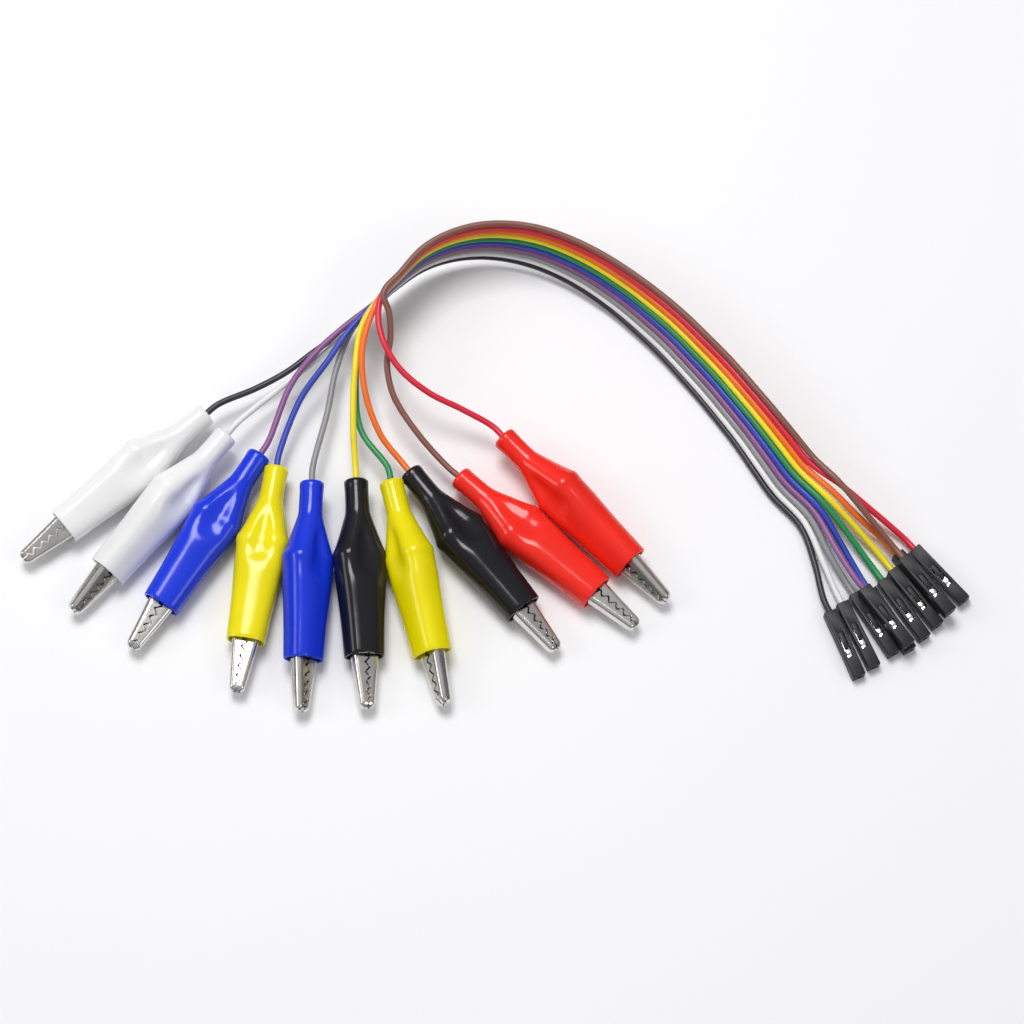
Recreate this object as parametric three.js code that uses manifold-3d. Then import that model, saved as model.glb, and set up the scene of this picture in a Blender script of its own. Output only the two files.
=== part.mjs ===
// A ten-way test lead: ten bonded hook-up wires, each from a booted alligator clip to a one-way pin housing.
// Millimetres, +Z up. The lead lies on a bench at z = 0, with the clips on the left and the housings on the right.
import * as THREE from "three";
import { mergeVertices } from "three/addons/utils/BufferGeometryUtils.js";
import Module from "manifold-3d";

const wasm = await Module();
wasm.setup();

// ---- driving dimensions ----

// The clip, and the bench plan's x and y, are drawn smaller than life by this share. Heights above the bench,
// the wires and the housings are given at their real size.
const drawnScale = 1.08;

// The ribbon cable.
const wirePitch = 1.27;
const wireCount = 10;
const wireRadius = 0.5;
const wireSides = 8;
const wireSteps = 40;

// The clip, measured from its pivot: x forward to the tip, y towards the moving jaw, z along the pivot.
const sheet = 0.35;
const jawWidth = 2.6;
const jawTipX = 13.5;
const jawTipWidthShare = 0.8;
const mouthX = 4.2;
const jawMouthDepth = 2.4;
const jawTipDepth = 1.15;
const toothPitch = 1.75;
const toothCount = 5;
const toothPeak = 0.25;
const toothValley = -0.45;
const earRadius = 1.7;
const earGap = 0.2;
const handleEndX = -13.8;
const handleKneeX = -11.4;
const handleSpread = 3.7;
const flangeDepth = 0.65;
const crimpHeight = 1;
const rivetRadius = 0.55;
const rivetHeadRadius = 0.95;
const rivetHeadDepth = 0.3;
const rivetHoleRadius = 0.8;

// The boot: stations along the clip, with the half-width across the handles and the half-height along the pivot.
const neckEndX = -28;
const bootSides = 14;
const bootSquareness = 2.5;
const bellyX = -11.8;
const bootOuter = [
  { x: neckEndX, across: 2.15, along: 2.15 },
  { x: -22.5, across: 2.15, along: 2.15 },
  { x: -20.5, across: 2.7, along: 2.5 },
  { x: -17.5, across: 3.65, along: 3 },
  { x: -14.6, across: 4.55, along: 3.5 },
  { x: bellyX, across: 4.6, along: 3.55 },
  { x: -3, across: 3.85, along: 3.2 },
  { x: mouthX, across: 3.45, along: 3 },
];
const bootInner = [
  { x: mouthX, across: 3, along: 2.6 },
  { x: -3, across: 3.4, along: 2.7 },
  { x: bellyX, across: 4.1, along: 3 },
  { x: -14.6, across: 4.05, along: 2.95 },
  { x: -17.5, across: 3.05, along: 2.5 },
  { x: -20.5, across: 1.5, along: 1.4 },
  { x: -22.5, across: 0.95, along: 0.95 },
  { x: neckEndX, across: 0.95, along: 0.95 },
];

// The pin housing, measured from the middle of its mating face: x forward, so that the body is at negative x.
const housingLength = 14;
const housingSide = 2.54;
const housingChamfer = 0.18;
const housingBore = 1.9;
const frontWall = 1.6;
const pinHole = 0.9;
const windowX = -5;
const windowLength = 1.9;
const windowWidth = 1.2;
const terminalSide = 1.3;
const terminalFrontX = -1.9;
const terminalBackX = -8;
const terminalHole = 0.66;
const terminalHoleDepth = 5;
const crimpSide = 0.9;
const crimpBackX = -11;
const wireEndGap = 0.3;

// The wire's way out of the clip, in the clip's own frame, and into the housing, in the housing's.
const wireInClip = [
  [-11.6, -2.6],
  [-14.2, -2.55],
  [-17.4, -1.7],
  [-20.4, -0.45],
  [-23, 0],
  [neckEndX, 0],
  [-31, 0],
];
const wireInHousing = [-17, -housingLength, crimpBackX - wireEndGap];

// The bonded ribbon's centre line, from the clips to the housings. lean is the angle in degrees between the
// bench and the ribbon's width: at 90 the ribbon stands on its black edge.
const ribbonRoute = [
  { at: [-24.2, 37.9, 9.6], lean: 106 },
  { at: [-21, 41.5, 9.6], lean: 102 },
  { at: [-16.3, 46.1, 9.4], lean: 94 },
  { at: [-11.5, 48.6, 9.2], lean: 88 },
  { at: [-6, 49.9, 8.9], lean: 82 },
  { at: [-0.4, 49.9, 8.5], lean: 77 },
  { at: [5.1, 48.8, 8.1], lean: 73 },
  { at: [10.6, 46.6, 7.6], lean: 70 },
  { at: [15.5, 43.8, 7.2], lean: 67 },
  { at: [20.3, 40.4, 6.7], lean: 64 },
  { at: [24.8, 36.6, 6.3], lean: 60 },
  { at: [29, 32.6, 6], lean: 57 },
  { at: [33, 28.2, 5.7], lean: 54 },
  { at: [36.8, 23.8, 5.4], lean: 51 },
  { at: [40.3, 19.3, 5.2], lean: 49 },
  { at: [43.8, 14.6, 5], lean: 46 },
  { at: [47.1, 9.9, 4.6], lean: 40 },
  { at: [50.4, 5.3, 4.1], lean: 34 },
];

// Where the whole lead's own middle lies on the bench, at real size, from the bench plan's origin.
const benchMiddle = { x: -3.38, y: -10.41 };

// One row for each lead, in ribbon order. fan and split are the wire's loose stretches at the clip's end and
// at the housing's end.
const leads = [
  {
    wire: "black",
    boot: "white",
    clip: { x: -76.7, y: -1.1, heading: -139.5, roll: -20 },
    fan: [
      [-46.4, 22.4, 4.4],
      [-40.9, 25.7, 4.3],
      [-36.5, 29.3, 4.3],
      [-31.4, 33.4, 4.2],
    ],
    split: [
      [51.8, -3.2, 1.1],
      [54, -10, 1.1],
    ],
    housing: { x: 61.1, y: -31.4, z: 1.27, heading: -68.5, roll: 0 },
  },
  {
    wire: "white",
    boot: "white",
    clip: { x: -69.1, y: -9.1, heading: -129.1, roll: -50 },
    fan: [
      [-40.3, 23.7, 5.1],
      [-34.7, 28.4, 5.3],
      [-30.5, 32.7, 5.3],
    ],
    split: [
      [52.5, -2.6, 1.8],
      [55.4, -9.8, 1.6],
    ],
    housing: { x: 63.8, y: -29.6, z: 1.27, heading: -66.2, roll: 0 },
  },
  {
    wire: "grey",
    boot: "blue",
    clip: { x: -36.5, y: -24.5, heading: -91.5, roll: -45 },
    fan: [
      [-33.3, 17.5, 5.4],
      [-31.9, 25.5, 5.9],
      [-29.1, 33.3, 6.3],
    ],
    split: [
      [53.3, -1.8, 2.5],
      [56.8, -9, 2],
    ],
    housing: { x: 67.4, y: -27.2, z: 1.27, heading: -59.5, roll: 0 },
  },
  {
    wire: "purple",
    boot: "blue",
    clip: { x: -59.9, y: -14.8, heading: -121, roll: -10 },
    fan: [
      [-40, 22.5, 6],
      [-35.6, 28.4, 7],
      [-30.6, 33.2, 7.5],
    ],
    split: [
      [54.1, -1, 3.2],
      [57.6, -8, 3.7],
    ],
    housing: { x: 69.8, y: -26.3, z: 3.9, heading: -54.5, roll: 0 },
  },
  {
    wire: "blue",
    boot: "yellow",
    clip: { x: -46.3, y: -21, heading: -98.2, roll: 0 },
    fan: [
      [-38.2, 19.6, 6.2],
      [-33.6, 26.1, 7.8],
      [-29.4, 32.3, 8.7],
    ],
    split: [
      [54.9, -0.4, 3.8],
      [58.8, -6.8, 2.2],
    ],
    housing: { x: 70.3, y: -26.5, z: 1.27, heading: -59, roll: 0 },
  },
  {
    wire: "green",
    boot: "yellow",
    clip: { x: -15, y: -23.6, heading: -76.4, roll: 50 },
    fan: [
      [-27.2, 13.7, 6],
      [-28.2, 23.7, 7.8],
      [-27.6, 31.3, 9.4],
    ],
    split: [
      [55.8, 0.2, 4.4],
      [60.4, -5.6, 2.6],
    ],
    housing: { x: 73, y: -24.3, z: 1.27, heading: -57, roll: 0 },
  },
  {
    wire: "yellow",
    boot: "black",
    clip: { x: -26.2, y: -23.9, heading: -86.5, roll: -25 },
    fan: [
      [-28.5, 14, 7.6],
      [-28.3, 23.5, 9.9],
      [-27.1, 32.2, 10.9],
    ],
    split: [
      [56.6, 0.9, 5.1],
      [61.6, -4.2, 3.1],
    ],
    housing: { x: 75.4, y: -22, z: 1.27, heading: -54.2, roll: 0 },
  },
  {
    wire: "orange",
    boot: "black",
    clip: { x: -0.7, y: -16.1, heading: -51.4, roll: -20 },
    fan: [
      [-23.6, 12.5, 6.6],
      [-26.3, 19.5, 9],
      [-27, 26.7, 11],
      [-25.8, 32.4, 12.2],
    ],
    split: [
      [57.6, 1.7, 5.7],
      [62, -2.4, 3.9],
    ],
    housing: { x: 76.8, y: -18.7, z: 1.27, heading: -51.8, roll: 0 },
  },
  {
    wire: "red",
    boot: "red",
    clip: { x: 18, y: -7.9, heading: -46, roll: 50 },
    fan: [
      [-8.8, 17, 7.6],
      [-15, 19.6, 9.6],
      [-20.2, 23.6, 11.4],
      [-23.2, 28.6, 12.8],
      [-24.1, 33.4, 13.3],
    ],
    split: [
      [58.6, 3.2, 6.2],
      [63, 0, 4.4],
    ],
    housing: { x: 80.4, y: -17.4, z: 1.51, heading: -49.2, roll: 12 },
  },
  {
    wire: "brown",
    boot: "red",
    clip: { x: 11.7, y: -13.5, heading: -41.4, roll: -12 },
    fan: [
      [-17, 13, 6.2],
      [-21.4, 19.8, 8],
      [-22.5, 25.2, 9.7],
      [-21.9, 29.6, 11.7],
      [-22.1, 33.4, 13.8],
    ],
    split: [
      [58, 3.4, 7.8],
      [61.8, -0.9, 6.6],
    ],
    housing: { x: 77.4, y: -20.3, z: 3.9, heading: -52.5, roll: 0 },
  },
];

const wireColours = {
  black: 0x24242c,
  white: 0xececec,
  grey: 0x8f8f92,
  purple: 0x8d5a90,
  blue: 0x2f45b8,
  green: 0x1f9150,
  yellow: 0xf2df1c,
  orange: 0xf5741f,
  red: 0xdc2338,
  brown: 0x86564a,
};
const bootColours = {
  white: 0xf2f2f2,
  blue: 0x1737d8,
  yellow: 0xefdf00,
  black: 0x17161b,
  red: 0xf42a1c,
};

// ---- solids ----

function solidFrom(geometry) {
  const bare = geometry.clone();
  for (const name of Object.keys(bare.attributes)) {
    if (name !== "position") bare.deleteAttribute(name);
  }
  const merged = mergeVertices(bare, 1e-4);
  const mesh = new wasm.Mesh({
    numProp: 3,
    vertProperties: new Float32Array(merged.attributes.position.array),
    triVerts: new Uint32Array(merged.index.array),
  });
  return new wasm.Manifold(mesh);
}

function geometryFrom(solid) {
  const mesh = solid.getMesh();
  const positions = new Float32Array(mesh.numVert * 3);
  for (let i = 0; i < mesh.numVert; i++) {
    positions.set(mesh.vertProperties.subarray(i * mesh.numProp, i * mesh.numProp + 3), i * 3);
  }
  const geometry = new THREE.BufferGeometry();
  geometry.setAttribute("position", new THREE.BufferAttribute(positions, 3));
  geometry.setIndex(new THREE.BufferAttribute(new Uint32Array(mesh.triVerts), 1));
  return finished(geometry);
}

// Flat-shaded copy of a geometry.
function finished(geometry) {
  const flat = geometry.toNonIndexed();
  flat.computeVertexNormals();
  return flat;
}

// A side outline in x and y, given thickness along z about the middle z.
function plate(outline, thickness, middleZ = 0) {
  const shape = new THREE.Shape(outline.map(([x, y]) => new THREE.Vector2(x, y)));
  const geometry = new THREE.ExtrudeGeometry(shape, { depth: thickness, bevelEnabled: false });
  return solidFrom(geometry.translate(0, 0, middleZ - thickness / 2));
}

function pinAlongPivot(radius, length, middleZ = 0, sides = 8) {
  const geometry = new THREE.CylinderGeometry(radius, radius, length, sides);
  return solidFrom(geometry.rotateX(Math.PI / 2).translate(0, 0, middleZ));
}

function block(minX, maxX, sizeY, sizeZ, middleZ = 0) {
  const geometry = new THREE.BoxGeometry(maxX - minX, sizeY, sizeZ);
  return solidFrom(geometry.translate((minX + maxX) / 2, 0, middleZ));
}

// ---- the clip ----

function arc(radius, fromDegrees, toDegrees, steps) {
  const points = [];
  for (let i = 0; i <= steps; i++) {
    const angle = THREE.MathUtils.degToRad(fromDegrees + ((toDegrees - fromDegrees) * i) / steps);
    points.push([radius * Math.cos(angle), radius * Math.sin(angle)]);
  }
  return points;
}

// The back of a jaw and its handle, from the handle's end to the tip, raised by so much off the outside.
function backLine(raise) {
  return [
    [handleEndX, -handleSpread + raise],
    [handleKneeX, -handleSpread + raise],
    [-2.5, -2.45 + raise],
    [mouthX, -jawMouthDepth + raise],
    [jawTipX - 0.4, -jawTipDepth + raise],
  ];
}

// The zigzag edge, tip to rear. The two jaws' edges are half a tooth apart, so that they mesh.
function teeth(startsAtPeak) {
  const points = [];
  for (let i = 0; i < toothCount * 2; i++) {
    const isPeak = (i % 2 === 0) === startsAtPeak;
    points.push([jawTipX - 0.9 - (i * toothPitch) / 2, isPeak ? toothPeak : toothValley]);
  }
  return points;
}

// A jaw's side outline with its back towards -y.
function jawOutline(startsAtPeak, hasCrimp) {
  const flangeY = -handleSpread + flangeDepth;
  const crimpY = -handleSpread + crimpHeight;
  const crimpEdge = hasCrimp
    ? [
        [handleKneeX - 0.2, crimpY],
        [handleEndX, crimpY],
      ]
    : [[handleEndX, flangeY]];
  return [
    ...backLine(0),
    [jawTipX, -0.85],
    [jawTipX, -0.12],
    ...teeth(startsAtPeak),
    [mouthX + 0.1, -0.35],
    [2.2, -0.55],
    ...arc(earRadius, -15, 195, 6),
    [-2.6, -1.6],
    [handleKneeX, flangeY],
    ...crimpEdge,
  ];
}

// The space inside the folded channel of a jaw.
function channel() {
  const outline = [
    ...backLine(sheet),
    [jawTipX + 1, -0.45],
    [jawTipX + 1, 3],
    [handleEndX - 1, 3],
    [handleEndX - 1, -handleSpread + sheet],
  ];
  return plate(outline, jawWidth - 2 * sheet);
}

// Narrows the jaw from the boot's mouth to the tip.
function narrowTowardsTip(geometry) {
  const position = geometry.getAttribute("position");
  for (let i = 0; i < position.count; i++) {
    const share = THREE.MathUtils.clamp((position.getX(i) - mouthX) / (jawTipX - mouthX), 0, 1);
    position.setZ(i, position.getZ(i) * (1 - (1 - jawTipWidthShare) * share));
  }
  return geometry;
}

// The jaw that holds the wire's crimp and the pivot rivet.
function fixedJaw() {
  const folded = plate(jawOutline(false, true), jawWidth).subtract(channel());
  const headZ = jawWidth / 2 + rivetHeadDepth / 2 - 0.05;
  const rivet = pinAlongPivot(rivetRadius, jawWidth + rivetHeadDepth)
    .add(pinAlongPivot(rivetHeadRadius, rivetHeadDepth, headZ))
    .add(pinAlongPivot(rivetHeadRadius, rivetHeadDepth, -headZ));
  return narrowTowardsTip(geometryFrom(folded.add(rivet)));
}

// The jaw that turns: its ears lie inside the fixed jaw's, on the rivet.
function movingJaw() {
  const wallMiddleZ = (jawWidth - sheet) / 2;
  const earMiddleZ = wallMiddleZ - sheet - earGap;
  const earOutline = [[-earRadius, -2.3], [earRadius, -2.3], ...arc(earRadius, 0, 180, 5)];
  let jaw = plate(jawOutline(true, false), jawWidth).subtract(channel());
  for (const side of [-1, 1]) {
    jaw = jaw.subtract(pinAlongPivot(earRadius + 0.3, 2 * sheet, side * wallMiddleZ, 12));
    jaw = jaw.add(plate(earOutline, sheet - 0.05, side * earMiddleZ));
  }
  jaw = jaw.subtract(pinAlongPivot(rivetHoleRadius, jawWidth * 2));
  const geometry = narrowTowardsTip(geometryFrom(jaw));
  return geometry.rotateX(Math.PI);
}

// One ring of the boot: a squared-off ellipse round the clip's axis.
function bootRing({ x, across, along }) {
  const ring = [];
  for (let i = 0; i < bootSides; i++) {
    const angle = (i * 2 * Math.PI) / bootSides;
    const c = Math.cos(angle);
    const s = Math.sin(angle);
    const power = 2 / bootSquareness;
    const y = across * Math.sign(c) * Math.abs(c) ** power;
    const z = along * Math.sign(s) * Math.abs(s) ** power;
    ring.push(new THREE.Vector3(x, y, z));
  }
  return ring;
}

// A boot open at both ends: the outer skin runs to the mouth and turns back as the inner skin.
function boot() {
  const rings = [...bootOuter, ...bootInner].map(bootRing);
  const points = rings.flat();
  const index = [];
  for (let r = 0; r < rings.length; r++) {
    const next = (r + 1) % rings.length;
    for (let i = 0; i < bootSides; i++) {
      const j = (i + 1) % bootSides;
      const a = r * bootSides + i;
      const b = r * bootSides + j;
      const c = next * bootSides + j;
      const d = next * bootSides + i;
      index.push(a, b, c, a, c, d);
    }
  }
  const geometry = new THREE.BufferGeometry().setFromPoints(points);
  geometry.setIndex(index);
  return finished(geometry);
}

// How far a ring of the boot reaches below the clip's axis when the clip is rolled.
function reachBelow({ across, along }, rollDegrees) {
  const roll = THREE.MathUtils.degToRad(rollDegrees);
  const power = bootSquareness / (bootSquareness - 1);
  const sum = Math.abs(across * Math.sin(roll)) ** power + Math.abs(along * Math.cos(roll)) ** power;
  return sum ** (1 / power);
}

// A clip lies on its boot's belly and mouth, so it points a little down towards the tip.
function clipFrame({ x, y, heading, roll }) {
  const belly = bootOuter.find((ring) => ring.x === bellyX);
  const mouth = bootOuter[bootOuter.length - 1];
  const mouthReach = reachBelow(mouth, roll);
  const dip = Math.asin((reachBelow(belly, roll) - mouthReach) / (mouthX - bellyX));
  const frame = new THREE.Group();
  const height = mouthReach * Math.cos(dip) + mouthX * Math.sin(dip);
  frame.position.copy(onBench([x, y, height * drawnScale]));
  frame.scale.setScalar(drawnScale);
  const headingAngle = THREE.MathUtils.degToRad(heading);
  frame.rotation.set(THREE.MathUtils.degToRad(roll), dip, headingAngle, "ZYX");
  frame.updateMatrixWorld();
  return frame;
}

// ---- the pin housing ----

function housing() {
  const half = housingSide / 2;
  const cut = half - housingChamfer;
  const corners = [
    [half, cut],
    [cut, half],
    [-cut, half],
    [-half, cut],
    [-half, -cut],
    [-cut, -half],
    [cut, -half],
    [half, -cut],
  ];
  const body = plate(corners, housingLength).transform(alongX(-housingLength / 2));
  const bore = block(-housingLength - 1, -frontWall, housingBore, housingBore);
  const hole = block(-frontWall - 1, 1, pinHole, pinHole);
  const window = block(windowX - windowLength / 2, windowX + windowLength / 2, windowWidth, half, half);
  return geometryFrom(body.subtract(bore).subtract(hole).subtract(window));
}

// The matrix that lays a plate's thickness along x, with its middle at x.
function alongX(x) {
  const turn = new THREE.Matrix4().makeRotationY(Math.PI / 2);
  return new THREE.Matrix4().makeTranslation(x, 0, 0).multiply(turn).toArray();
}

// The crimped socket that the housing holds.
function terminal() {
  const socket = block(terminalBackX, terminalFrontX, terminalSide, terminalSide);
  const hole = block(terminalFrontX - terminalHoleDepth, terminalFrontX + 1, terminalHole, terminalHole);
  const crimp = block(crimpBackX, terminalBackX + 0.5, crimpSide, crimpSide);
  return geometryFrom(socket.add(crimp).subtract(hole));
}

function housingFrame({ x, y, z, heading, roll }) {
  const frame = new THREE.Group();
  frame.position.copy(onBench([x, y, z]));
  const headingAngle = THREE.MathUtils.degToRad(heading);
  frame.rotation.set(THREE.MathUtils.degToRad(roll), 0, headingAngle, "ZYX");
  frame.updateMatrixWorld();
  return frame;
}

// ---- the wires ----

// A place on the bench plan, at real size.
function onBench([x, y, z]) {
  return new THREE.Vector3(x * drawnScale, y * drawnScale, z);
}

// The places of one wire along the bonded ribbon.
function ribbonPoints(wireIndex) {
  const up = new THREE.Vector3(0, 0, 1);
  const offset = (wireIndex - (wireCount - 1) / 2) * wirePitch;
  const centres = ribbonRoute.map(({ at }) => onBench(at));
  return ribbonRoute.map(({ lean }, i) => {
    const before = centres[Math.max(i - 1, 0)];
    const after = centres[Math.min(i + 1, centres.length - 1)];
    const outwards = new THREE.Vector3(before.y - after.y, after.x - before.x, 0).normalize();
    const angle = THREE.MathUtils.degToRad(lean);
    return centres[i]
      .clone()
      .addScaledVector(outwards, offset * Math.cos(angle))
      .addScaledVector(up, offset * Math.sin(angle));
  });
}

function wire(lead, wireIndex, clipPlace, housingPlace) {
  const points = [
    ...wireInClip.map(([x, y]) => new THREE.Vector3(x, y, 0).applyMatrix4(clipPlace.matrixWorld)),
    ...lead.fan.map(onBench),
    ...ribbonPoints(wireIndex),
    ...lead.split.map(onBench),
    ...wireInHousing.map((x) => new THREE.Vector3(x, 0, 0).applyMatrix4(housingPlace.matrixWorld)),
  ];
  const path = new THREE.CatmullRomCurve3(points);
  const section = new THREE.Shape(
    arc(wireRadius, 0, 360 - 360 / wireSides, wireSides - 1).map(([x, y]) => new THREE.Vector2(x, y)),
  );
  return new THREE.ExtrudeGeometry(section, { steps: wireSteps, extrudePath: path });
}

// ---- the assembly ----

const metal = { color: 0xcfccc4, roughness: 0.25, metalness: 1 };
const housingPlastic = { color: 0x2c2b2f, roughness: 0.55, metalness: 0 };

function named(name, geometry, look) {
  const mesh = new THREE.Mesh(geometry, new THREE.MeshStandardMaterial(look));
  mesh.name = name;
  return mesh;
}

const group = new THREE.Group();
const bench = new THREE.Group();
bench.position.set(-benchMiddle.x, -benchMiddle.y, 0);
group.add(bench);

leads.forEach((lead, i) => {
  const label = "lead" + String(i + 1).padStart(2, "0");
  const clip = clipFrame(lead.clip);
  const socket = housingFrame(lead.housing);
  const bootLook = { color: bootColours[lead.boot], roughness: 0.25, metalness: 0 };
  const wireLook = { color: wireColours[lead.wire], roughness: 0.4, metalness: 0 };
  const wireGeometry = wire(lead, i, clip, socket);
  clip.add(named(label + "_boot_" + lead.boot, boot(), bootLook));
  clip.add(named(label + "_fixed_jaw", fixedJaw(), metal));
  clip.add(named(label + "_moving_jaw", movingJaw(), metal));
  socket.add(named(label + "_housing", housing(), housingPlastic));
  socket.add(named(label + "_terminal", terminal(), metal));
  bench.add(clip, socket, named(label + "_wire_" + lead.wire, wireGeometry, wireLook));
});

export default group;
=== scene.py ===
import math

import bmesh
import bpy
from mathutils import Matrix, Vector


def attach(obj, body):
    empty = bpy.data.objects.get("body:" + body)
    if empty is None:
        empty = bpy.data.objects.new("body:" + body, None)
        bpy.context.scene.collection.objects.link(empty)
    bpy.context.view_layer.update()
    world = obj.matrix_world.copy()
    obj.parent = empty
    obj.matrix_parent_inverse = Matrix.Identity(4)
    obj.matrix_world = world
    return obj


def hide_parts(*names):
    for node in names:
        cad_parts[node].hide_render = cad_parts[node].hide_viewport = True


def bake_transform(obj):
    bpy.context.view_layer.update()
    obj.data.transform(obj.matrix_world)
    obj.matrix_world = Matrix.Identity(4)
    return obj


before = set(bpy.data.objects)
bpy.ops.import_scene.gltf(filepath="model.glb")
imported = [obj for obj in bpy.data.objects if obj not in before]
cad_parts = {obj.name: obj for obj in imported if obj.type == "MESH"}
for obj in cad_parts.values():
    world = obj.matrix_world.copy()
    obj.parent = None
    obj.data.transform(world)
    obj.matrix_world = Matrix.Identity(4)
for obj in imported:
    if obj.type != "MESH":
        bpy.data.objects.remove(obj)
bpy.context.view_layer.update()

MM = 0.001

# ---- driving dimensions, in millimetres ----

# The clip, and the bench plan's x and y, are drawn smaller than life by this share.
DRAWN_SCALE = 1.08
BENCH_MIDDLE = Vector((-3.38, -10.41, 0))

# The ribbon cable.
WIRE_PITCH = 1.27
WIRE_DIAMETER = 1.25
WIRE_COUNT = 10
SAMPLES_PER_SPAN = 8

# The clip, measured from its pivot: x forward to the tip, y towards the moving jaw, z along the pivot.
SHEET = 0.35
JAW_HALF_WIDTH = 1.3
JAW_TIP_X = 13.5
JAW_TIP_WIDTH_SHARE = 0.8
MOUTH_X = 4.2
TOOTH_PITCH = 1.75
TOOTH_PEAK = 0.17
TOOTH_VALLEY = -0.6
TEETH_START_X = 12.6
TEETH_END_X = 4.7
EAR_RADIUS = 1.7
HANDLE_END_X = -13.8
NOSE_LENGTH = 0.9
RIVET_RADIUS = 0.55
RIVET_HEAD_RADIUS = 0.95

# The boot: stations along the clip, with the half-width across the handles
# and the half-height along the pivot.
NECK_END_X = -28
BELLY_X = -11.8
BOOT_WALL = 0.45
BOOT_REACH_POWER = 2.5
BOOT_OUTER = [
    (NECK_END_X, 2.15, 2.15),
    (-22.5, 2.2, 2.15),
    (-20.5, 2.7, 2.45),
    (-17.5, 3.65, 3),
    (-14.6, 4.55, 3.5),
    (BELLY_X, 4.6, 3.55),
    (-3, 3.85, 3.2),
    (MOUTH_X, 3.45, 3),
]

# The pin housing, measured from the middle of its mating face.
HOUSING_LENGTH = 14
HOUSING_SIDE = 2.54
HOUSING_BORE = 1.9
FRONT_WALL = 1.6
PIN_HOLE = 0.9
WINDOW_X = -5
WINDOW_LENGTH = 1.9
WINDOW_WIDTH = 1.2
TONGUE_START_X = -9.2
SLOT_WIDTH = 0.16
CRIMP_BACK_X = -11
WIRE_END_GAP = 0.3

# The wire's way out of the clip, and into the housing.
WIRE_IN_CLIP = [
    (-11.6, -2.6),
    (-14.2, -2.55),
    (-17.4, -1.7),
    (-20.4, -0.45),
    (-23, 0),
    (NECK_END_X, 0),
    (-31, 0),
]
WIRE_IN_HOUSING = [-17, -HOUSING_LENGTH, CRIMP_BACK_X - WIRE_END_GAP]

# The bonded ribbon's centre line, with the angle in degrees between the bench and the ribbon's width.
RIBBON_ROUTE = [
    ((-24.2, 37.9, 9.6), 106),
    ((-21, 41.5, 9.6), 102),
    ((-16.3, 46.1, 9.4), 94),
    ((-11.5, 48.6, 9.2), 88),
    ((-6, 49.9, 8.9), 82),
    ((-0.4, 49.9, 8.5), 77),
    ((5.1, 48.8, 8.1), 73),
    ((10.6, 46.6, 7.6), 70),
    ((15.5, 43.8, 7.2), 67),
    ((20.3, 40.4, 6.7), 64),
    ((24.8, 36.6, 6.3), 60),
    ((29, 32.6, 6), 57),
    ((33, 28.2, 5.7), 54),
    ((36.8, 23.8, 5.4), 51),
    ((40.3, 19.3, 5.2), 49),
    ((43.8, 14.6, 5), 46),
    ((47.1, 9.9, 4.6), 40),
    ((50.4, 5.3, 4.1), 34),
]

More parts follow.
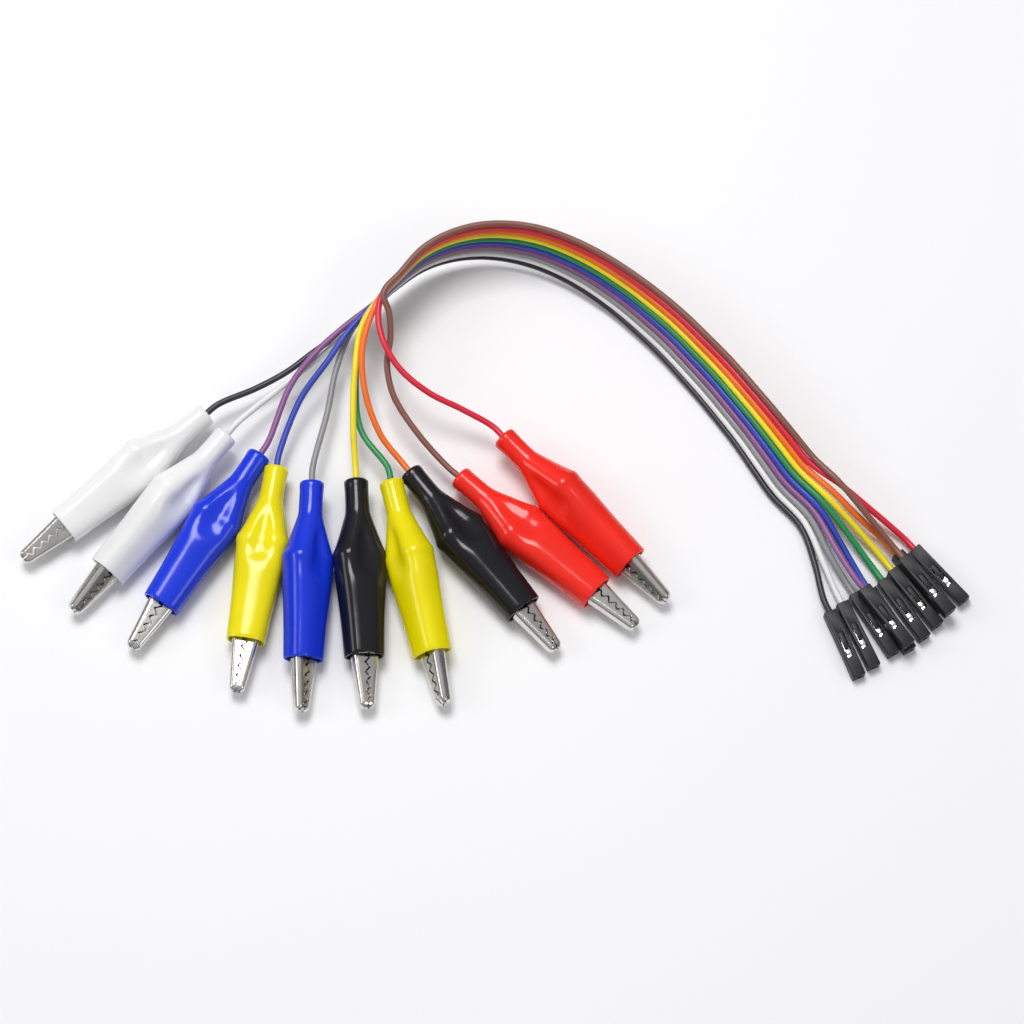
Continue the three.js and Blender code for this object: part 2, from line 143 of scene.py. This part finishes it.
# One row for each lead, in ribbon order: clip is x, y, heading, roll; housing is x, y, z, heading, roll.
LEADS = [
    {
        "wire": "black", "boot": "white", "clip": (-76.7, -1.1, -139.5, -20),
        "fan": [(-46.4, 22.4, 4.4), (-40.9, 25.7, 4.3), (-36.5, 29.3, 4.3), (-31.4, 33.4, 4.2)],
        "split": [(51.8, -3.2, 1.1), (54, -10, 1.1)],
        "housing": (61.1, -31.4, 1.27, -68.5, 0),
    },
    {
        "wire": "white", "boot": "white", "clip": (-69.1, -9.1, -129.1, -50),
        "fan": [(-40.3, 23.7, 5.1), (-34.7, 28.4, 5.3), (-30.5, 32.7, 5.3)],
        "split": [(52.5, -2.6, 1.8), (55.4, -9.8, 1.6)],
        "housing": (63.8, -29.6, 1.27, -66.2, 0),
    },
    {
        "wire": "grey", "boot": "blue", "clip": (-36.5, -24.5, -91.5, -45),
        "fan": [(-33.3, 17.5, 5.4), (-31.9, 25.5, 5.9), (-29.1, 33.3, 6.3)],
        "split": [(53.3, -1.8, 2.5), (56.8, -9, 2)],
        "housing": (67.4, -27.2, 1.27, -59.5, 0),
    },
    {
        "wire": "purple", "boot": "blue", "clip": (-59.9, -14.8, -121, -10),
        "fan": [(-40, 22.5, 6), (-35.6, 28.4, 7), (-30.6, 33.2, 7.5)],
        "split": [(54.1, -1, 3.2), (57.6, -8, 3.7)],
        "housing": (69.8, -26.3, 3.9, -54.5, 0),
    },
    {
        "wire": "blue", "boot": "yellow", "clip": (-46.3, -21, -98.2, 0),
        "fan": [(-38.2, 19.6, 6.2), (-33.6, 26.1, 7.8), (-29.4, 32.3, 8.7)],
        "split": [(54.9, -0.4, 3.8), (58.8, -6.8, 2.2)],
        "housing": (70.3, -26.5, 1.27, -59, 0),
    },
    {
        "wire": "green", "boot": "yellow", "clip": (-15, -23.6, -76.4, 50),
        "fan": [(-27.2, 13.7, 6), (-28.2, 23.7, 7.8), (-27.6, 31.3, 9.4)],
        "split": [(55.8, 0.2, 4.4), (60.4, -5.6, 2.6)],
        "housing": (73, -24.3, 1.27, -57, 0),
    },
    {
        "wire": "yellow", "boot": "black", "clip": (-26.2, -23.9, -86.5, -25),
        "fan": [(-28.5, 14, 7.6), (-28.3, 23.5, 9.9), (-27.1, 32.2, 10.9)],
        "split": [(56.6, 0.9, 5.1), (61.6, -4.2, 3.1)],
        "housing": (75.4, -22, 1.27, -54.2, 0),
    },
    {
        "wire": "orange", "boot": "black", "clip": (-0.7, -16.1, -51.4, -20),
        "fan": [(-23.6, 12.5, 6.6), (-26.3, 19.5, 9), (-27, 26.7, 11), (-25.8, 32.4, 12.2)],
        "split": [(57.6, 1.7, 5.7), (62, -2.4, 3.9)],
        "housing": (76.8, -18.7, 1.27, -51.8, 0),
    },
    {
        "wire": "red", "boot": "red", "clip": (18, -7.9, -46, 50),
        "fan": [
            (-8.8, 17, 7.6), (-15, 19.6, 9.6), (-20.2, 23.6, 11.4), (-23.2, 28.6, 12.8), (-24.1, 33.4, 13.3),
        ],
        "split": [(58.6, 3.2, 6.2), (63, 0, 4.4)],
        "housing": (80.4, -17.4, 1.51, -49.2, 12),
    },
    {
        "wire": "brown", "boot": "red", "clip": (11.7, -13.5, -41.4, -12),
        "fan": [
            (-17, 13, 6.2), (-21.4, 19.8, 8), (-22.5, 25.2, 9.7), (-21.9, 29.6, 11.7), (-22.1, 33.4, 13.8),
        ],
        "split": [(58, 3.4, 7.8), (61.8, -0.9, 6.6)],
        "housing": (77.4, -20.3, 3.9, -52.5, 0),
    },
]

# ---- places ----


def on_bench(point):
    """A place on the bench plan, in the row frame, in metres."""
    x, y, z = point
    return (Vector((x * DRAWN_SCALE, y * DRAWN_SCALE, z)) - BENCH_MIDDLE) * MM


def turned(heading, dip, roll):
    heading_turn = Matrix.Rotation(math.radians(heading), 4, "Z")
    return heading_turn @ Matrix.Rotation(dip, 4, "Y") @ Matrix.Rotation(math.radians(roll), 4, "X")


def reach_below(station, roll):
    """How far a ring of the boot reaches below the clip's axis when the clip is rolled."""
    _, across, along = station
    power = BOOT_REACH_POWER / (BOOT_REACH_POWER - 1)
    side = abs(across * math.sin(math.radians(roll))) ** power
    top = abs(along * math.cos(math.radians(roll))) ** power
    return (side + top) ** (1 / power)


def clip_place(lead):
    """From the clip's own millimetres to the row frame."""
    x, y, heading, roll = lead["clip"]
    belly = next(station for station in BOOT_OUTER if station[0] == BELLY_X)
    mouth_reach = reach_below(BOOT_OUTER[-1], roll)
    dip = math.asin((reach_below(belly, roll) - mouth_reach) / (MOUTH_X - BELLY_X))
    height = mouth_reach * math.cos(dip) + MOUTH_X * math.sin(dip)
    move = Matrix.Translation(on_bench((x, y, height * DRAWN_SCALE)))
    return move @ turned(heading, dip, roll) @ Matrix.Scale(DRAWN_SCALE * MM, 4)


def housing_place(lead):
    x, y, z, heading, roll = lead["housing"]
    return Matrix.Translation(on_bench((x, y, z))) @ turned(heading, 0, roll) @ Matrix.Scale(MM, 4)


# ---- camera ----

CAMERA_ELEVATION = 70
CAMERA_DISTANCE = 561.6
HALF_PICTURE_AT_TARGET = 99.6


def add_camera():
    target = on_bench((0, 0, 0))
    angle = math.radians(CAMERA_ELEVATION)
    away = Vector((0, -math.cos(angle), math.sin(angle))) * CAMERA_DISTANCE * MM
    data = bpy.data.cameras.new("camera")
    data.angle = 2 * math.atan(HALF_PICTURE_AT_TARGET / CAMERA_DISTANCE)
    camera = bpy.data.objects.new("camera", data)
    camera.location = target + away
    camera.rotation_euler = (-away).to_track_quat("-Z", "Y").to_euler()
    bpy.context.collection.objects.link(camera)
    bpy.context.scene.camera = camera


# ---- materials ----


def new_material(name, roughness, metallic=0.0):
    material = bpy.data.materials.new(name)
    material.use_nodes = True
    shader = material.node_tree.nodes["Principled BSDF"]
    shader.inputs["Roughness"].default_value = roughness
    shader.inputs["Metallic"].default_value = metallic
    return material, shader


def add_noise(material, scale, detail=4):
    nodes = material.node_tree.nodes
    place = nodes.new("ShaderNodeTexCoord")
    noise = nodes.new("ShaderNodeTexNoise")
    noise.inputs["Scale"].default_value = scale
    noise.inputs["Detail"].default_value = detail
    material.node_tree.links.new(place.outputs["Object"], noise.inputs["Vector"])
    return noise.outputs["Fac"]


def vary_colour(material, shader, fac, colour, spread):
    """Lets the base colour drift by the given share round its own value."""
    ramp = material.node_tree.nodes.new("ShaderNodeValToRGB")
    ramp.color_ramp.elements[0].position = 0.3
    ramp.color_ramp.elements[1].position = 0.7
    ramp.color_ramp.elements[0].color = (*(c * (1 - spread) for c in colour), 1)
    ramp.color_ramp.elements[1].color = (*(min(1, c * (1 + spread)) for c in colour), 1)
    material.node_tree.links.new(fac, ramp.inputs["Fac"])
    material.node_tree.links.new(ramp.outputs["Color"], shader.inputs["Base Color"])


def vary_roughness(material, shader, fac, low, high):
    spread = material.node_tree.nodes.new("ShaderNodeMapRange")
    spread.inputs["To Min"].default_value = low
    spread.inputs["To Max"].default_value = high
    material.node_tree.links.new(fac, spread.inputs["Value"])
    material.node_tree.links.new(spread.outputs["Result"], shader.inputs["Roughness"])


def add_bump(material, shader, fac, strength, depth):
    bump = material.node_tree.nodes.new("ShaderNodeBump")
    bump.inputs["Strength"].default_value = strength
    bump.inputs["Distance"].default_value = depth * MM
    material.node_tree.links.new(fac, bump.inputs["Height"])
    material.node_tree.links.new(bump.outputs["Normal"], shader.inputs["Normal"])


def wire_material(name, colour):
    material, shader = new_material("wire_" + name, 0.36)
    vary_colour(material, shader, add_noise(material, 180), colour, 0.05)
    vary_roughness(material, shader, add_noise(material, 900), 0.3, 0.42)
    add_bump(material, shader, add_noise(material, 2600), 0.25, 0.02)
    return material


def boot_material(name, colour):
    material, shader = new_material("boot_" + name, 0.24)
    shader.inputs["Specular IOR Level"].default_value = 0.4
    vary_colour(material, shader, add_noise(material, 90), colour, 0.05)
    vary_roughness(material, shader, add_noise(material, 500), 0.12, 0.22)
    add_bump(material, shader, add_noise(material, 150, 2), 0.3, 0.12)
    return material


def metal_material(name, colour, low, high):
    material, shader = new_material(name, low, metallic=1.0)
    vary_colour(material, shader, add_noise(material, 300), colour, 0.06)
    vary_roughness(material, shader, add_noise(material, 1400), low, high)
    add_bump(material, shader, add_noise(material, 1100), 0.25, 0.03)
    return material


def housing_material():
    material, shader = new_material("housing_plastic", 0.42)
    shader.inputs["Specular IOR Level"].default_value = 0.3
    vary_colour(material, shader, add_noise(material, 160), (0.018, 0.017, 0.022), 0.12)
    vary_roughness(material, shader, add_noise(material, 700), 0.36, 0.5)
    add_bump(material, shader, add_noise(material, 5200), 0.3, 0.02)
    return material


def floor_material():
    material, shader = new_material("floor", 0.6)
    vary_colour(material, shader, add_noise(material, 6), (0.92, 0.92, 0.93), 0.01)
    return material


WIRE_COLOURS = {
    "black": (0.022, 0.022, 0.032),
    "white": (0.8, 0.8, 0.8),
    "grey": (0.29, 0.29, 0.3),
    "purple": (0.26, 0.095, 0.27),
    "blue": (0.03, 0.06, 0.46),
    "green": (0.016, 0.27, 0.08),
    "yellow": (0.9, 0.74, 0.014),
    "orange": (0.92, 0.17, 0.016),
    "red": (0.73, 0.02, 0.05),
    "brown": (0.24, 0.095, 0.07),
}
BOOT_COLOURS = {
    "white": (0.88, 0.88, 0.88),
    "blue": (0.008, 0.038, 0.69),
    "yellow": (0.86, 0.74, 0.0),
    "black": (0.009, 0.008, 0.011),
    "red": (0.9, 0.023, 0.012),
}

wire_looks = {name: wire_material(name, colour) for name, colour in WIRE_COLOURS.items()}
boot_looks = {name: boot_material(name, colour) for name, colour in BOOT_COLOURS.items()}
nickel = metal_material("nickel_steel", (0.76, 0.74, 0.7), 0.14, 0.26)
tin = metal_material("terminal_metal", (0.87, 0.86, 0.84), 0.16, 0.28)
black_plastic = housing_material()

# ---- meshes ----


def add_piece(name, mesh, material):
    mesh.materials.clear()
    mesh.materials.append(material)
    piece = bpy.data.objects.new(name, mesh)
    bpy.context.collection.objects.link(piece)
    return piece


def smoothed(mesh, degrees=35):
    mesh.shade_smooth()
    mesh.set_sharp_from_angle(angle=math.radians(degrees))
    return mesh


def skin(name, rings, closed_ring=True, closed_loop=False):
    """A mesh through rings of points. closed_loop joins the last ring to the first."""
    count = len(rings[0])
    points = [point for ring in rings for point in ring]
    faces = []
    for r in range(len(rings) if closed_loop else len(rings) - 1):
        after = (r + 1) % len(rings)
        for i in range(count if closed_ring else count - 1):
            j = (i + 1) % count
            faces.append((r * count + i, r * count + j, after * count + j, after * count + i))
    mesh = bpy.data.meshes.new(name)
    mesh.from_pydata(points, [], faces)
    outwards(mesh)
    return mesh


def outwards(mesh):
    edit = bmesh.new()
    edit.from_mesh(mesh)
    bmesh.ops.recalc_face_normals(edit, faces=edit.faces)
    edit.to_mesh(mesh)
    edit.free()


def with_modifiers(mesh, *settings):
    """The mesh after modifiers, each given as its type and its settings."""
    carrier = bpy.data.objects.new("carrier", mesh)
    bpy.context.collection.objects.link(carrier)
    for kind, values in settings:
        modifier = carrier.modifiers.new(kind, kind)
        for key, value in values.items():
            setattr(modifier, key, value)
    shown = carrier.evaluated_get(bpy.context.evaluated_depsgraph_get())
    result = bpy.data.meshes.new_from_object(shown)
    bpy.data.objects.remove(carrier)
    return result


def interpolated(stations, x, column):
    """A smooth value between stations, with level slopes only where the stations turn."""
    index = 0
    while index < len(stations) - 2 and x > stations[index + 1][0]:
        index += 1
    before, here = stations[max(index - 1, 0)], stations[index]
    there, after = stations[index + 1], stations[min(index + 2, len(stations) - 1)]
    gap = there[0] - here[0]
    share = min(max((x - here[0]) / gap, 0), 1)
    slope_here = (there[column] - before[column]) / max(there[0] - before[0], 1e-6)
    slope_there = (after[column] - here[column]) / max(after[0] - here[0], 1e-6)
    square, cube = share**2, share**3
    return (
        (2 * cube - 3 * square + 1) * here[column]
        + (cube - 2 * square + share) * slope_here * gap
        + (3 * square - 2 * cube) * there[column]
        + (cube - square) * slope_there * gap
    )


# ---- wires ----


def catmull_rom(points):
    """A centripetal Catmull-Rom curve through the points."""
    ends = [2 * points[0] - points[1], *points, 2 * points[-1] - points[-2]]
    curve = []
    for a, b, c, d in zip(ends, ends[1:], ends[2:], ends[3:]):
        first, middle, last = (math.sqrt((q - p).length) for p, q in ((a, b), (b, c), (c, d)))
        start = ((b - a) / first - (c - a) / (first + middle) + (c - b) / middle) * middle
        end = ((c - b) / middle - (d - b) / (middle + last) + (d - c) / last) * middle
        for step in range(SAMPLES_PER_SPAN):
            s = step / SAMPLES_PER_SPAN
            curve.append(
                b * (2 * s**3 - 3 * s**2 + 1)
                + start * (s**3 - 2 * s**2 + s)
                + c * (3 * s**2 - 2 * s**3)
                + end * (s**3 - s**2)
            )
    curve.append(points[-1].copy())
    return curve


def ribbon_points(wire_index):
    centres = [on_bench(at) for at, _ in RIBBON_ROUTE]
    offset = (wire_index - (WIRE_COUNT - 1) / 2) * WIRE_PITCH * MM
    points = []
    for i, (_, lean) in enumerate(RIBBON_ROUTE):
        before, after = centres[max(i - 1, 0)], centres[min(i + 1, len(centres) - 1)]
        outward = Vector((before.y - after.y, after.x - before.x, 0)).normalized()
        angle = math.radians(lean)
        points.append(centres[i] + offset * (outward * math.cos(angle) + Vector((0, 0, math.sin(angle)))))
    return points


def add_wire(label, lead, wire_index, clip, socket):
    points = [clip @ Vector((x, y, 0)) for x, y in WIRE_IN_CLIP]
    points += [on_bench(point) for point in lead["fan"]]
    points += ribbon_points(wire_index)
    points += [on_bench(point) for point in lead["split"]]
    points += [socket @ Vector((x, 0, 0)) for x in WIRE_IN_HOUSING]
    curve = bpy.data.curves.new(label, "CURVE")
    curve.dimensions = "3D"
    curve.bevel_depth = WIRE_DIAMETER / 2 * MM
    curve.bevel_resolution = 4
    curve.use_fill_caps = True
    spline = curve.splines.new("POLY")
    route = catmull_rom(points)
    spline.points.add(len(route) - 1)
    for point, place in zip(spline.points, route):
        point.co = (*place, 1)
    spline.use_smooth = True
    name = label + "_insulated_wire_" + lead["wire"]
    piece = add_piece(name, curve, wire_looks[lead["wire"]])
    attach(piece, "root")
    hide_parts(label + "_wire_" + lead["wire"])


# ---- boots ----

BOOT_RINGS = 64
BOOT_SIDES = 48
VALLEY_DEPTH = 0.26
VALLEY_MIDDLE_X = -14.5
VALLEY_HALF_LENGTH = 4.4
RIM_HEIGHT = 0.05
SHOULDER_HEIGHT = 0.3
SHOULDER_X = -14.1


def valley(x, y):
    """The share of the boot's height that is left in the valley between the two handles."""
    depth = VALLEY_DEPTH * math.exp(-(((x - VALLEY_MIDDLE_X) / VALLEY_HALF_LENGTH) ** 4))
    width = 0.6 + 1.9 * min(max((x + 20) / 9, 0), 1)
    return 1 - depth * math.exp(-abs(y / width) ** 2)


def rim(x):
    """The slight rolled rim at the neck's end."""
    return RIM_HEIGHT * math.exp(-(((x - NECK_END_X - 0.5) / 0.45) ** 2))


def boot_ring(x, inset):
    shoulder = SHOULDER_HEIGHT * math.exp(-(((x - SHOULDER_X) / 0.9) ** 2))
    across = interpolated(BOOT_OUTER, x, 1) + rim(x) + shoulder - inset
    along = interpolated(BOOT_OUTER, x, 2) + rim(x) + 0.4 * shoulder - inset
    squareness = 2 + 0.7 * min(max((x - NECK_END_X - 6) / 12, 0), 1)
    ring = []
    for i in range(BOOT_SIDES):
        angle = 2 * math.pi * i / BOOT_SIDES
        c, s = math.cos(angle), math.sin(angle)
        y = across * math.copysign(abs(c) ** (2 / squareness), c)
        z = along * math.copysign(abs(s) ** (2 / squareness), s)
        z *= valley(x, y)
        ring.append((x, y, z))
    return ring


def boot_mesh():
    span = MOUTH_X - NECK_END_X
    stations = [NECK_END_X + span * i / BOOT_RINGS for i in range(BOOT_RINGS + 1)]
    lip = BOOT_WALL / 2
    outer = [boot_ring(x, 0) for x in stations]
    inner = [boot_ring(x, BOOT_WALL if x > -21 else 1.2) for x in reversed(stations)]
    front = [boot_ring(MOUTH_X + lip * 0.8, lip * 0.35), boot_ring(MOUTH_X + lip * 0.8, lip * 1.65)]
    back = [boot_ring(NECK_END_X - 0.25, 0.9), boot_ring(NECK_END_X - 0.25, 0.25)]
    return smoothed(skin("boot", outer + front + inner + back, closed_loop=True), 60)


def add_boot(label, lead, clip):
    mesh = boot_mesh()
    mesh.transform(clip)
    name = label + "_soft_boot_" + lead["boot"]
    piece = add_piece(name, mesh, boot_looks[lead["boot"]])
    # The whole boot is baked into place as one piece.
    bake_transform(piece)
    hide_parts(label + "_boot_" + lead["boot"])


# ---- jaws ----

BACK_LINE = [
    (HANDLE_END_X, 3.7),
    (-11.4, 3.7),
    (-2.5, 2.45),
    (MOUTH_X, 2.4),
    (JAW_TIP_X - 0.4, 1.35),
    (JAW_TIP_X, 0.95),
]


def straight_between(stations, x):
    for (x0, y0), (x1, y1) in zip(stations, stations[1:]):
        if x <= x1:
            return y0 + (y1 - y0) * (x - x0) / (x1 - x0)
    return stations[-1][1]


def tooth_edge(x, shift):
    """The flat-topped zigzag of the biting edge."""
    phase = ((TEETH_START_X - x) / TOOTH_PITCH + shift) % 1
    wave = 1.6 * (abs(2 * phase - 1) - 0.5) * 1.5
    middle = (TOOTH_PEAK + TOOTH_VALLEY) / 2
    return middle + (TOOTH_PEAK - TOOTH_VALLEY) / 2 * min(max(wave, -1), 1)


def free_edge(x, shift, has_crimp):
    """The height of the folded sheet's free edge."""
    if x > TEETH_START_X:
        return -0.12
    if x > TEETH_END_X:
        return tooth_edge(x, shift)
    if x > EAR_RADIUS:
        return -0.45
    if x > -EAR_RADIUS:
        return math.sqrt(max(EAR_RADIUS**2 - x**2, 0)) - 0.45 * abs(x) / EAR_RADIUS
    if has_crimp and x < -11.4:
        return -2.7
    return straight_between([(HANDLE_END_X, -3.05), (-11.4, -3.05), (-2.6, -1.6), (-EAR_RADIUS, -0.9)], x)


def jaw_half_width(x, is_inner):
    share = min(max((x - MOUTH_X) / (JAW_TIP_X - MOUTH_X), 0), 1)
    width = JAW_HALF_WIDTH * (1 - (1 - JAW_TIP_WIDTH_SHARE) * share)
    nose = max(x - (JAW_TIP_X - NOSE_LENGTH), 0) / NOSE_LENGTH
    width *= math.sqrt(1 - 0.55 * nose**2)
    if is_inner:
        width -= 0.5 * math.exp(-((x / 2.2) ** 4))
    return width


def jaw_section(x, shift, has_crimp, is_inner):
    """One U-shaped section, from free edge to free edge round the rounded back."""
    half = jaw_half_width(x, is_inner) - SHEET / 2
    back = -straight_between(BACK_LINE, x) + SHEET / 2
    edge = max(free_edge(x, shift, has_crimp), back + 0.3)
    corner = min(0.6, half * 0.6, (edge - back) * 0.8)
    quarter = [math.radians(90 * i / 5) for i in range(6)]
    wall = [(x, edge + (back + corner - edge) * i / 3, half) for i in range(3)]
    bend = [(x, back + corner * (1 - math.sin(a)), half - corner * (1 - math.cos(a))) for a in quarter]
    side = wall + bend
    return side + [(x, y, -z) for x, y, z in reversed(side)]


def jaw_mesh(shift, has_crimp, is_inner):
    steps = 230
    span = JAW_TIP_X - HANDLE_END_X
    sections = [
        jaw_section(HANDLE_END_X + span * i / steps, shift, has_crimp, is_inner) for i in range(steps + 1)
    ]
    sheet = skin("jaw", sections, closed_ring=False)
    return smoothed(with_modifiers(sheet, ("SOLIDIFY", {"thickness": SHEET, "offset": 0})), 40)


fixed_jaw_shape = jaw_mesh(0.5, True, False)
moving_jaw_shape = jaw_mesh(0.0, False, True)
moving_jaw_shape.transform(Matrix.Rotation(math.pi, 4, "X"))


def lathe(profile, sides=32):
    """A closed solid turned about z from (radius, z) points that start and end near the axis."""
    rings = []
    for i in range(sides):
        angle = 2 * math.pi * i / sides
        rings.append([(r * math.cos(angle), r * math.sin(angle), z) for r, z in profile])
    return smoothed(skin("turned", rings, closed_ring=False, closed_loop=True), 40)


def rivet_mesh():
    top = JAW_HALF_WIDTH
    head = RIVET_HEAD_RADIUS
    shank = [(RIVET_RADIUS, 0), (RIVET_RADIUS, top)]
    domed_head = [(head, top), (head, top + 0.12), (0.6, top + 0.3), (0.01, top + 0.34)]
    half = shank + domed_head
    return lathe([(r, -z) for r, z in reversed(half)] + half[1:])


rivet_shape = rivet_mesh()


def add_spring(label, clip):
    """The torsion spring round the rivet, with short legs towards the two handles."""
    wire_radius = 0.13
    turns, steps = 2.5, 60
    points = [Vector((-4.2, -1.1, -0.42))]
    for i in range(steps + 1):
        angle = math.radians(-90) - 2 * math.pi * turns * i / steps
        points.append(Vector((0.85 * math.cos(angle), 0.85 * math.sin(angle), -0.42 + 0.84 * i / steps)))
    points.append(Vector((-3, 0.75, 0.42)))
    curve = bpy.data.curves.new(label + "_spring", "CURVE")
    curve.dimensions = "3D"
    curve.bevel_depth = wire_radius * DRAWN_SCALE * MM
    curve.bevel_resolution = 3
    curve.use_fill_caps = True
    spline = curve.splines.new("POLY")
    spline.points.add(len(points) - 1)
    for point, place in zip(spline.points, points):
        point.co = (*(clip @ place), 1)
    spline.use_smooth = True
    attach(add_piece(label + "_torsion_spring", curve, nickel), "root")


def add_clip_metal(label, clip):
    fixed = fixed_jaw_shape.copy()
    fixed.transform(clip)
    piece = add_piece(label + "_folded_fixed_jaw", fixed, nickel)
    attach(piece, "root")
    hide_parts(label + "_fixed_jaw")
    moving = moving_jaw_shape.copy()
    moving.transform(clip)
    piece = add_piece(label + "_folded_moving_jaw", moving, nickel)
    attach(piece, label + "_jaw")
    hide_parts(label + "_moving_jaw")
    rivet = rivet_shape.copy()
    rivet.transform(clip)
    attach(add_piece(label + "_pivot_rivet", rivet, nickel), "root")
    add_spring(label, clip)


# ---- housings and terminals ----


def box_mesh(low, high):
    mesh = bpy.data.meshes.new("box")
    edit = bmesh.new()
    bmesh.ops.create_cube(edit, size=1)
    for vertex in edit.verts:
        vertex.co = [a + (b - a) * (c + 0.5) for a, b, c in zip(low, high, vertex.co)]
    edit.to_mesh(mesh)
    edit.free()
    return mesh


def cut(mesh, low, high):
    tool = bpy.data.objects.new("tool", box_mesh(low, high))
    bpy.context.collection.objects.link(tool)
    result = with_modifiers(mesh, ("BOOLEAN", {"operation": "DIFFERENCE", "object": tool, "solver": "EXACT"}))
    bpy.data.objects.remove(tool)
    return result


def housing_mesh():
    half = HOUSING_SIDE / 2
    bore = HOUSING_BORE / 2
    hole = PIN_HOLE / 2
    window = WINDOW_WIDTH / 2
    back_of_window = WINDOW_X - WINDOW_LENGTH / 2
    front_of_window = WINDOW_X + WINDOW_LENGTH / 2
    mesh = box_mesh((-HOUSING_LENGTH, -half, -half), (0, half, half))
    mesh = with_modifiers(mesh, ("BEVEL", {"width": 0.14, "segments": 3}))
    mesh = cut(mesh, (-HOUSING_LENGTH - 1, -bore, -bore), (-FRONT_WALL, bore, bore))
    mesh = cut(mesh, (-FRONT_WALL - 1, -hole, -hole), (1, hole, hole))
    mesh = cut(mesh, (back_of_window, -window, 0), (front_of_window, window, half + 1))
    # Slots through the top wall set the latch tongue free on both sides.
    for side in (-1, 1):
        near, far = sorted((side * window, side * (window - SLOT_WIDTH)))
        mesh = cut(mesh, (TONGUE_START_X, near, bore - 0.1), (back_of_window + 0.1, far, half + 1))
    # A shallow recess lies across the tongue's root.
    mesh = cut(mesh, (TONGUE_START_X - 0.16, -window, half - 0.12), (TONGUE_START_X, window, half + 1))
    return smoothed(with_modifiers(mesh, ("BEVEL", {"width": 0.035, "segments": 2, "angle_limit": 0.6})), 35)


def tube_section(x, half, corner):
    ring = []
    for turn in range(4):
        for i in range(5):
            angle = math.radians(90 * turn + 90 * i / 4)
            centre = math.radians(90 * turn + 45)
            offset = (half - corner) * math.sqrt(2)
            y = offset * math.cos(centre) + corner * math.cos(angle)
            z = offset * math.sin(centre) + corner * math.sin(angle)
            ring.append((x, y, z))
    return ring


def terminal_mesh():
    """A folded box socket with its waist and crimp, and the latch lance that shows in the window."""
    outer = [(-1.9, 0.65), (-7.4, 0.65), (-8, 0.45), (-8.6, 0.45), (-9, 0.72), (-10.9, 0.72), (-11, 0.66)]
    inner = [(-7, 0.28), (-2.1, 0.33), (-1.9, 0.45)]
    rings = [tube_section(x, half, half * 0.35) for x, half in outer]
    rings.append(tube_section(-11, 0.1, 0.03))
    rings.append(tube_section(-7.2, 0.1, 0.03))
    rings += [tube_section(x, half, half * 0.2) for x, half in inner]
    edit = bmesh.new()
    edit.from_mesh(skin("terminal", rings, closed_loop=True))
    lance = box_mesh((-5.5, -0.48, 0.6), (-4.65, 0.48, 0.98))
    foot = box_mesh((-4.5, -0.1, 0.6), (-4.15, 0.4, 0.82))
    for part in (lance, foot):
        edit.from_mesh(with_modifiers(part, ("BEVEL", {"width": 0.07, "segments": 2})))
    mesh = bpy.data.meshes.new("terminal")
    edit.to_mesh(mesh)
    edit.free()
    return smoothed(mesh, 40)


housing_shape = housing_mesh()
terminal_shape = terminal_mesh()


def add_socket(label, socket):
    for shape, word, node, material, slot in (
        (housing_shape, "_latched_housing", "_housing", black_plastic, "housing_plastic"),
        (terminal_shape, "_crimp_socket", "_terminal", tin, "terminal_metal"),
    ):
        mesh = shape.copy()
        mesh.transform(socket)
        piece = add_piece(label + word, mesh, material)
        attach(piece, "root")
        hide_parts(label + node)


# ---- floor and light ----


def add_floor():
    mesh = box_mesh((-1.5, -1.5, -0.02), (1.5, 1.5, 0))
    mesh.materials.append(floor_material())
    floor = bpy.data.objects.new("floor", mesh)
    bpy.context.collection.objects.link(floor)


def add_light(name, place, size, power):
    data = bpy.data.lights.new(name, "AREA")
    data.size = size
    data.energy = power
    light = bpy.data.objects.new(name, data)
    light.location = place
    light.rotation_euler = (-Vector(place)).to_track_quat("-Z", "Y").to_euler()
    bpy.context.collection.objects.link(light)


def add_world():
    world = bpy.data.worlds.new("studio")
    world.use_nodes = True
    nodes, links = world.node_tree.nodes, world.node_tree.links
    direction = nodes.new("ShaderNodeTexCoord")
    height = nodes.new("ShaderNodeSeparateXYZ")
    ramp = nodes.new("ShaderNodeValToRGB")
    ramp.color_ramp.elements[0].color = (0.05, 0.05, 0.055, 1)
    ramp.color_ramp.elements[1].position = 0.75
    ramp.color_ramp.elements[1].color = (0.42, 0.42, 0.43, 1)
    links.new(direction.outputs["Generated"], height.inputs["Vector"])
    links.new(height.outputs["Z"], ramp.inputs["Fac"])
    links.new(ramp.outputs["Color"], nodes["Background"].inputs["Color"])
    nodes["Background"].inputs["Strength"].default_value = 1
    bpy.context.scene.world = world


# ---- the scene ----

bpy.context.scene.view_settings.view_transform = "Standard"

add_camera()
places = [(clip_place(lead), housing_place(lead)) for lead in LEADS]
for number, (lead, (clip, socket)) in enumerate(zip(LEADS, places)):
    add_wire("lead%02d" % (number + 1), lead, number, clip, socket)
for number, (lead, (clip, socket)) in enumerate(zip(LEADS, places)):
    label = "lead%02d" % (number + 1)
    add_boot(label, lead, clip)
    add_clip_metal(label, clip)
    add_socket(label, socket)
add_floor()
add_light("overhead", (-0.1, 0.3, 0.8), 0.36, 4.6)
add_light("left", (-0.7, 0, 0.5), 0.3, 0.9)
add_light("right", (0.6, -0.3, 0.6), 0.3, 0.7)
add_world()
